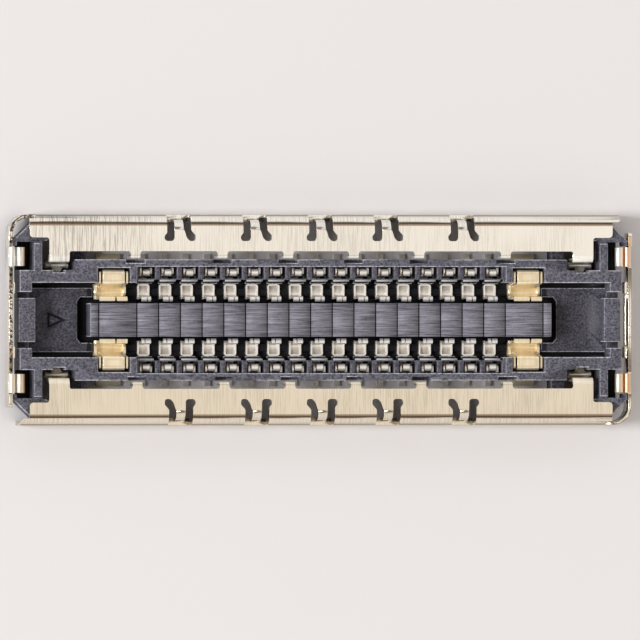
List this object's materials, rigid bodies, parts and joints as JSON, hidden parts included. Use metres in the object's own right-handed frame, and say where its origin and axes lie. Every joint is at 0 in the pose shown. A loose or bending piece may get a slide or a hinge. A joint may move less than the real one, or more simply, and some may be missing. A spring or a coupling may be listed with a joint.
{
  "type": "fpc connector",
  "caption": "Low shielded receptacle that joins a flexible circuit to a board: dark housing with a central tongue between contact rows, wide power contacts at the ends and a folded shell.",
  "frame": {"origin": "centre of the footprint, on the solder plane", "axes": "+X along the contact rows, +Y across them towards shell half a's long wall, +Z out of the board towards the mating plug"},
  "size_m": [0.01, 0.0034, 0.0006],
  "materials": {
    "housing_plastic": "fine moulded, slightly speckled",
    "shell_plating": "plated sheet, finely brushed across its length",
    "signal_gold": "thin pale gold plating, satin",
    "power_gold": "gold plating, satin"
  },
  "bodies": {
    "root": {"housing": "housing_plastic", "shell_half_a": "shell_plating", "shell_half_b": "shell_plating", "signal_contact_a01": "signal_gold", "signal_contact_a02": "signal_gold", "signal_contact_a03": "signal_gold", "signal_contact_a04": "signal_gold", "signal_contact_a05": "signal_gold", "signal_contact_a06": "signal_gold", "signal_contact_a07": "signal_gold", "signal_contact_a08": "signal_gold", "signal_contact_a09": "signal_gold", "signal_contact_a10": "signal_gold", "signal_contact_a11": "signal_gold", "signal_contact_a12": "signal_gold", "signal_contact_a13": "signal_gold", "signal_contact_a14": "signal_gold", "signal_contact_a15": "signal_gold", "signal_contact_a16": "signal_gold", "signal_contact_a17": "signal_gold", "signal_contact_b01": "signal_gold", "signal_contact_b02": "signal_gold", "signal_contact_b03": "signal_gold", "signal_contact_b04": "signal_gold", "signal_contact_b05": "signal_gold", "signal_contact_b06": "signal_gold", "signal_contact_b07": "signal_gold", "signal_contact_b08": "signal_gold", "signal_contact_b09": "signal_gold", "signal_contact_b10": "signal_gold", "signal_contact_b11": "signal_gold", "signal_contact_b12": "signal_gold", "signal_contact_b13": "signal_gold", "signal_contact_b14": "signal_gold", "signal_contact_b15": "signal_gold", "signal_contact_b16": "signal_gold", "signal_contact_b17": "signal_gold", "power_contact_a1": "power_gold", "power_contact_a2": "power_gold", "power_contact_b1": "power_gold", "power_contact_b2": "power_gold"}
  },
  "joints": []
}
